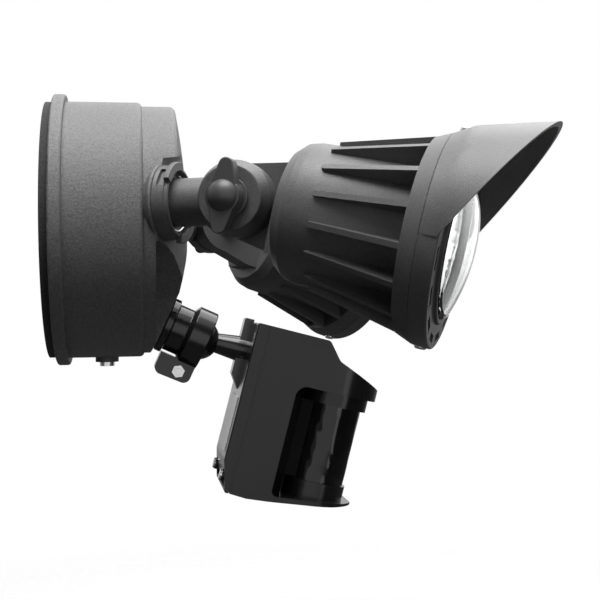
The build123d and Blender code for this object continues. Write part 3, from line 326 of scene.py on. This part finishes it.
def smooth_by_angle():
    """A modifier's node group: welds loose triangles and shades smooth all but the sharp edges."""
    group = bpy.data.node_groups.new("weld_and_smooth", "GeometryNodeTree")
    for way in ("INPUT", "OUTPUT"):
        group.interface.new_socket("Geometry", in_out=way, socket_type="NodeSocketGeometry")
    tree = Tree(group)
    start = tree.node("NodeGroupInput")
    weld = tree.node("GeometryNodeMergeByDistance", {}, {"Geometry": start, "Distance": CAD_WELD})
    faces = tree.node("GeometryNodeSetShadeSmooth", {}, {"Geometry": weld})
    angle = tree.node("GeometryNodeInputMeshEdgeAngle", output="Unsigned Angle")
    sharp = tree.node("FunctionNodeCompare", {"data_type": "FLOAT", "operation": "GREATER_THAN"},
                      {0: angle, 1: radians(SHARP_ANGLE)})
    edges = tree.node("GeometryNodeSetShadeSmooth", {"domain": "EDGE"},
                      {"Geometry": faces, "Selection": sharp, "Shade Smooth": False})
    tree.node("NodeGroupOutput", {}, [edges])
    return group


SMOOTH = smooth_by_angle()


def soften(obj):
    """Welded, smooth-shaded faces that keep their crisp edges."""
    obj.modifiers.new("smooth", "NODES").node_group = SMOOTH
    weighted = obj.modifiers.new("weighted", "WEIGHTED_NORMAL")
    weighted.keep_sharp = True


for entry in frame["record"]["subparts"]:
    node = NODES[entry["node"]]
    node.data.materials.clear()
    node.data.materials.append(COATS[entry["material_slot"]])
    soften(node)


# ---- surfaces in numpy -----------------------------------------------------------
def grid_mesh(name, points, loop_u=False, loop_v=False):
    """A mesh from a (rows, columns, 3) grid of points; either direction may close on itself."""
    rows, columns = points.shape[:2]
    i = np.arange(rows if loop_u else rows - 1)
    j = np.arange(columns if loop_v else columns - 1)
    a, b = np.meshgrid(i, j, indexing="ij")
    c, d = (a + 1) % rows, (b + 1) % columns
    corners = [a * columns + b, a * columns + d, c * columns + d, c * columns + b]
    quads = np.stack(corners, -1).reshape(-1, 4)
    mesh = bpy.data.meshes.new(name)
    mesh.from_pydata(points.reshape(-1, 3).tolist(), [], quads.tolist())
    mesh.update()
    return mesh


def show(name, mesh, place, finish, body):
    """Puts a mesh into the row frame, gives it its finish and lets it ride on a body."""
    mesh.transform(place)
    mesh.validate()
    piece = bpy.data.objects.new(name, mesh)
    bpy.context.scene.collection.objects.link(piece)
    mesh.materials.append(EXTRA.get(finish) or COATS[finish])
    mesh.polygons.foreach_set("use_smooth", [True] * len(mesh.polygons))
    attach(piece, body)
    return piece


def close_poles(mesh):
    """Merges the points that meet on an axis or a seam, and turns all faces outwards."""
    work = bmesh.new()
    work.from_mesh(mesh)
    bmesh.ops.remove_doubles(work, verts=work.verts, dist=WELD)
    bmesh.ops.dissolve_degenerate(work, dist=WELD / 5, edges=work.edges)
    bmesh.ops.recalc_face_normals(work, faces=work.faces)
    work.to_mesh(mesh)
    work.free()
    return mesh


def turned_mesh(name, profile, steps, wobble=None):
    """A closed profile of (x, radius) points turned about X; wobble(x, r, angle) may move them."""
    x, r = np.array(profile, float).T
    angle = np.linspace(0, 2 * pi, steps + 1)[:-1]
    xs, a = np.meshgrid(x, angle, indexing="ij")
    rs = np.repeat(r[:, None], steps, 1)
    if wobble is not None:
        xs, rs = wobble(xs, rs, a)
    points = np.stack([xs, rs * np.sin(a), rs * np.cos(a)], -1) * MM
    return close_poles(grid_mesh(name, points, loop_v=True))


def round_cap(base_x, base_r, height, count, inward=True):
    """Points (x, r) of a spherical cap, from its rim to its crown, or back.

    With a sphere's radius R = (rim^2 + height^2) / (2 height), x = crown - R + sqrt(R^2 - r^2).
    """
    ball = (base_r**2 + height**2) / (2 * height)
    r = base_r * np.cos(np.linspace(0, pi / 2, count))
    x = base_x + height - ball + np.sqrt(ball**2 - r**2)
    points = list(zip(x, r))
    return points if inward else points[::-1]


# ---- the part's own frames, the same numbers as in the CAD source, in millimetres ------
ARM_YAW = 24.8
ARM_PAD = (58.6, 54.2, 9.3)
ARM_REACH = 37.8
TILT = {"left": 12.9, "right": 14.6}
SENSOR_FACE = (58.3, 0.0, -48.9)
SENSOR_DROP = 25.0
BALL_S = 20.3
HEAD_DROP = 15.0
SIDES = (("left", -1), ("right", 1))


def place_of(origin, ahead, up):
    """Row-frame matrix for a local frame with X ahead and Z up."""
    ahead, up = Vector(ahead), Vector(up)
    turn = Matrix((ahead, up.cross(ahead), up)).transposed().to_4x4()
    return Matrix.Translation(Vector(origin) * MM) @ turn


def arm_place(side):
    yaw = radians(ARM_YAW)
    x, y, z = ARM_PAD
    return place_of((x, side * y, z), (cos(yaw), side * sin(yaw), 0), (0, 0, 1))


def tipped(angle):
    """Turn about the local Y axis; a positive angle tips X downwards."""
    return Matrix.Rotation(radians(angle), 4, "Y")


def lamp_place(name, side):
    return arm_place(side) @ Matrix.Translation((ARM_REACH * MM, 0, 0)) @ tipped(TILT[name])


def head_place():
    drop = radians(SENSOR_DROP)
    arm = place_of(SENSOR_FACE, (cos(drop), 0, -sin(drop)), (sin(drop), 0, cos(drop)))
    return arm @ Matrix.Translation((BALL_S * MM, 0, 0)) @ tipped(HEAD_DROP - SENSOR_DROP)


# ---- lamp optics --------------------------------------------------------------------
BOARD_FACE = 82.0
CHIP_R = 12.0
REFLECTOR_RIM_A = 96.5
REFLECTOR_THROAT = 14.0
REFLECTOR_RIM_R = 35.0
REFLECTOR_WALL = 1.0
BOWL_DEPTH = REFLECTOR_RIM_A - 1.4 - BOARD_FACE
RIM_PLAY = 0.2        # between the rim and what holds it
RIM_BACK = 1.1        # from the rim's place to its back
FACETS = 32
FACET_SINK = 0.012    # share of the radius
LENS_A = 98.0
LENS_RIM_R = 37.5
LENS_FRONT_R = 33.3
LENS_STEP_A = 105.2
LENS_BULGE = 6.4
LENS_T = 2.5
LENS_PLAY = 0.05


def make_reflector(name, side):
    """Bowl: x = board + depth t^1.15 and r = throat + (rim - throat) sin(t pi / 2)^0.8, faceted."""
    t = np.linspace(0, 1, 40)
    bowl_x = BOARD_FACE + BOWL_DEPTH * t**1.15
    bowl_r = REFLECTOR_THROAT + (REFLECTOR_RIM_R - REFLECTOR_THROAT) * np.sin(t * pi / 2)**0.8
    inner = list(zip(bowl_x, bowl_r))
    front, back, edge = REFLECTOR_RIM_A - RIM_PLAY, REFLECTOR_RIM_A - RIM_BACK, LENS_RIM_R - RIM_PLAY
    rim = [(front, REFLECTOR_RIM_R), (front, edge), (back, edge), (back, REFLECTOR_RIM_R + 0.9)]
    outer = [(x, r + REFLECTOR_WALL) for x, r in inner[::-1]]
    profile = inner + rim + outer + [inner[0]]

    def facets(x, r, angle):
        """Sinks the middle of each facet by a share of r, falling to none at the ribs."""
        share = np.abs(((angle * FACETS / (2 * pi)) % 1.0) - 0.5) * 2
        inside = (x < REFLECTOR_RIM_A - 1.3) & (x > BOARD_FACE + 0.3)
        return x, r - inside * FACET_SINK * r * (1 - share**2)

    mesh = turned_mesh(name + "_reflector_bowl", profile, FACETS * 6, facets)
    piece = show(name + "_reflector_bowl", mesh, lamp_place(name, side), "reflector_bright", name + "_lamp")
    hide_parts(name + "_reflector")


GEL_BACK, GEL_EDGE, GEL_CROWN = 0.4, 0.85, 0.5
DOME_PITCH, DOME_RISE = 2.4, 0.35


def make_chips(name, side):
    """Gel disc over the chips: x = edge + crown (1 - (r / R)^4), with a lattice of small domes."""
    r = np.linspace(0, CHIP_R, 60)
    profile = [(BOARD_FACE + GEL_EDGE + GEL_CROWN * (1 - (k / CHIP_R)**4), k) for k in r]
    profile += [(BOARD_FACE + GEL_EDGE, CHIP_R), (BOARD_FACE + GEL_BACK, CHIP_R),
                (BOARD_FACE + GEL_BACK, 0.0)]

    def domes(x, r, angle):
        """x rises by rise * cos(2 pi y / pitch) * cos(2 pi z / pitch), where that is positive."""
        turn = 2 * pi / DOME_PITCH
        wave = np.cos(r * np.sin(angle) * turn) * np.cos(r * np.cos(angle) * turn)
        top = x > BOARD_FACE + GEL_EDGE + 0.01
        return x + top * DOME_RISE * np.clip(wave, 0, 1), r

    mesh = turned_mesh(name + "_chip_gel", profile, 144, domes)
    show(name + "_chip_gel", mesh, lamp_place(name, side), "chip_gel", name + "_lamp")


def make_lens(name, side):
    """Domed lens: two spherical caps a wall apart, joined by a cylindrical edge and a flat rim."""
    outer = round_cap(LENS_STEP_A, LENS_FRONT_R, LENS_BULGE, 40)
    inner = round_cap(LENS_STEP_A - LENS_T, LENS_FRONT_R - LENS_T, LENS_BULGE, 40, inward=False)
    back, front, rim = LENS_A + LENS_PLAY, LENS_A + LENS_T - LENS_PLAY, LENS_RIM_R - LENS_PLAY
    neck = LENS_FRONT_R + 0.95
    edge = [(back, LENS_FRONT_R - LENS_T), (back, rim), (front, rim), (front, neck),
            (LENS_STEP_A - 1.0, neck)]
    mesh = turned_mesh(name + "_domed_lens", inner + edge + outer, 160)
    piece = show(name + "_domed_lens", mesh, lamp_place(name, side), "lens_glass", name + "_lamp")
    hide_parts(name + "_lens")
    soften(piece)


# ---- collars' wire rings --------------------------------------------------------------
SNAP_X, SNAP_R, SNAP_WIRE = 5.5, 13.5, 0.65
SNAP_GAP = 24         # degrees


def make_snap_ring(name, side):
    """Sprung wire ring in the collar's recess: a torus with a gap, its ends domed."""
    along = np.linspace(radians(SNAP_GAP / 2), radians(360 - SNAP_GAP / 2), 120)
    round_it = np.linspace(0, 2 * pi, 17)[:-1]
    a, c = np.meshgrid(along, round_it, indexing="ij")
    fade = np.clip(np.minimum(a - along[0], along[-1] - a) / radians(2.5), 0, 1)
    wire = SNAP_WIRE * np.sqrt(np.clip(1 - (1 - fade)**2, 0, 1))
    r = SNAP_R + wire * np.cos(c)
    points = np.stack([SNAP_X + wire * np.sin(c), r * np.sin(a), r * np.cos(a)], -1) * MM
    mesh = close_poles(grid_mesh(name + "_snap_ring", points, loop_v=True))
    show(name + "_snap_ring", mesh, arm_place(side), "stainless", "canopy")


# ---- sensor's lens --------------------------------------------------------------------
PIR_F, PIR_R, PIR_WALL = 79.2, 15.6, 1.0
PIR_LOW, PIR_HIGH = -58.4, -17.2
PIR_OPEN = 31.0       # half of the gap at the back, in degrees
PIR_PLAY = 0.05       # to the rings above and below
SEGMENT, SEGMENT_DEPTH = 5.2, 0.16
WAVE_DEPTH = 0.14


def make_pir_lens():
    """Film bent to r = R - depth * waves(angle, height), with rows of shallow lens segments inside."""
    angle = np.linspace(radians(PIR_OPEN), radians(360 - PIR_OPEN), 180)
    height = np.linspace(PIR_LOW + PIR_PLAY, PIR_HIGH - PIR_PLAY, 90)
    a, v = np.meshgrid(angle, height, indexing="ij")
    waves = 0.5 + 0.25 * np.sin(v * 0.42 + 1.7 * np.sin(a * 2.0)) + 0.25 * np.sin(v * 0.23 + a * 3.0)
    outer = PIR_R - WAVE_DEPTH * waves
    cell = 2 * pi / SEGMENT
    ripple = SEGMENT_DEPTH * np.abs(np.sin(v * cell / 2) * np.sin(a * PIR_R * cell / 2))
    inner = PIR_R - PIR_WALL - 0.2 + ripple
    outside = np.stack([PIR_F - outer * np.cos(a), outer * np.sin(a), v], -1)
    inside = np.stack([PIR_F - inner * np.cos(a), inner * np.sin(a), v], -1)
    loop = np.concatenate([outside, inside[:, ::-1], outside[:, :1]], 1)
    start, end = [np.repeat(row.mean(1, keepdims=True), loop.shape[1], 1) for row in (loop[:1], loop[-1:])]
    points = np.concatenate([start, loop, end], 0)
    mesh = close_poles(grid_mesh("curved_pir_film", points * MM))
    piece = show("curved_pir_film", mesh, head_place(), "pir_film", "sensor_head")
    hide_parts("pir_lens")
    soften(piece)


for lamp_name, lamp_side in SIDES:
    make_reflector(lamp_name, lamp_side)
    make_chips(lamp_name, lamp_side)
    make_lens(lamp_name, lamp_side)
    make_snap_ring(lamp_name, lamp_side)
make_pir_lens()


# ---- camera ------------------------------------------------------------------------
EYE = Vector((0.042707, -0.557577, -0.037875))
RIGHT = Vector((0.98743463, -0.15750341, -0.0128658))
UP = Vector((0.01265393, -0.00234793, 0.99991718))
AHEAD = Vector((0.15752058, 0.98751565, 0.0003254))
PICTURE_WIDTH = 600.0
FOCAL_PIXELS = 1045.0
SENSOR_WIDTH = 36.0


def make_camera():
    """The photograph's viewpoint, worked out from the canopy's circles and the pivots."""
    camera = bpy.data.cameras.new("camera")
    camera.sensor_width = SENSOR_WIDTH
    camera.lens = FOCAL_PIXELS / PICTURE_WIDTH * SENSOR_WIDTH
    camera.clip_start = 0.01
    camera.clip_end = 50.0
    holder = bpy.data.objects.new("camera", camera)
    bpy.context.scene.collection.objects.link(holder)
    turn = Matrix((RIGHT, UP, -AHEAD)).transposed().to_4x4()
    holder.matrix_world = Matrix.Translation(EYE) @ turn
    bpy.context.scene.camera = holder


# ---- light and floor -----------------------------------------------------------------
def area_light(name, place, aim, size, watts, diffuse=1.0):
    """A soft rectangular lamp at place, facing aim; diffuse is its share of matt light."""
    lamp = bpy.data.lights.new(name, "AREA")
    lamp.shape = "RECTANGLE"
    lamp.size, lamp.size_y = size
    lamp.energy = watts
    lamp.diffuse_factor = diffuse
    holder = bpy.data.objects.new(name, lamp)
    holder.location = place
    holder.rotation_mode = "QUATERNION"
    holder.rotation_quaternion = (Vector(aim) - Vector(place)).to_track_quat("-Z", "Y")
    bpy.context.scene.collection.objects.link(holder)


def make_world(ambient):
    """An even dim studio behind a white backdrop for the camera and glass.

    Gloss sees white above, behind the part and in a patch round the camera, grey to the sides
    and darkness below.
    """
    world = bpy.data.worlds.new("studio")
    bpy.context.scene.world = world
    world.use_nodes = True
    sky = Tree(world.node_tree)
    way = sky.node("ShaderNodeTexCoord", output="Generated")
    height = sky.part("Z", way)
    depth = sky.part("Y", way)
    behind = depth.ramp(-0.10, 0.45) * height.ramp(-0.30, 0.10)
    above = height.ramp(0.45, 0.80)
    near_camera = sky.node("ShaderNodeVectorMath", {"operation": "DOT_PRODUCT"}, [way, -AHEAD], 1)
    patch = near_camera.ramp(0.80, 0.87) * height.ramp(-0.35, -0.15)
    sides = height.ramp(-0.30, 0.30) * GLOSS_SIDE
    gloss = behind.larger(above).larger(patch).larger(sides) * (1 - GLOSS_LOW) + GLOSS_LOW
    light = sky.node("ShaderNodeBackground", {}, {"Color": (1, 1, 1, 1),
                                                  "Strength": sky.rays(gloss) * (1 - ambient) + ambient})
    sky.node("ShaderNodeOutputWorld", {}, {"Surface": light})


FLOOR_CENTRE = (0.12, 0.0, -0.30)
FLOOR_R = 0.62
FLOOR_FADE = 0.45     # share of the radius from which it fades


def make_floor():
    """A pale round floor well below the light, fading out towards its rim."""
    turn = np.linspace(0, 2 * pi, 97)[:-1]
    radius = np.linspace(0.0005, FLOOR_R, 12)
    r, t = np.meshgrid(radius, turn, indexing="ij")
    x, y, z = FLOOR_CENTRE
    points = np.stack([x + r * np.cos(t), y + r * np.sin(t), np.full_like(r, z)], -1)
    mesh = grid_mesh("floor", points, loop_v=True)
    floor = bpy.data.objects.new("floor", mesh)
    bpy.context.scene.collection.objects.link(floor)
    pale = Finish("pale_floor")
    paper = pale.noise(300.0, 2.0, 0.5)
    sheet = pale.mix(paper.ramp(0.3, 0.7), grey(0.86), grey(0.90))
    colour = pale.mix(pale.rays(GLOSS_LOW), grey(0.06), sheet)
    body = pale.node("ShaderNodeBsdfPrincipled", {}, {"Base Color": colour, "Roughness": 0.9})
    away = pale.node("ShaderNodeVectorMath", {"operation": "DISTANCE"}, {0: pale.place, 1: FLOOR_CENTRE}, 1)
    clear = pale.node("ShaderNodeBsdfTransparent")
    both = pale.node("ShaderNodeMixShader", {}, [away.ramp(FLOOR_R * FLOOR_FADE, FLOOR_R), body, clear])
    mesh.materials.append(pale.show(both))


MIDDLE = (0.10, 0.0, 0.0)
LOW_MIDDLE = (0.10, 0.0, -0.05)

make_camera()
make_world(ambient=0.02)
make_floor()
area_light("overhead", (0.05, -0.33, 1.16), MIDDLE, size=(0.9, 0.9), watts=24.0)
area_light("ahead", (0.66, 0.42, 1.02), MIDDLE, size=(1.0, 1.0), watts=8.5, diffuse=0.35)
area_light("behind", (0.10, 0.95, 0.95), MIDDLE, size=(1.4, 0.5), watts=2.0)
area_light("front", (0.80, -1.30, 0.05), LOW_MIDDLE, size=(0.3, 1.2), watts=1.7, diffuse=0.2)

scene = bpy.context.scene
scene.view_settings.view_transform = "Standard"
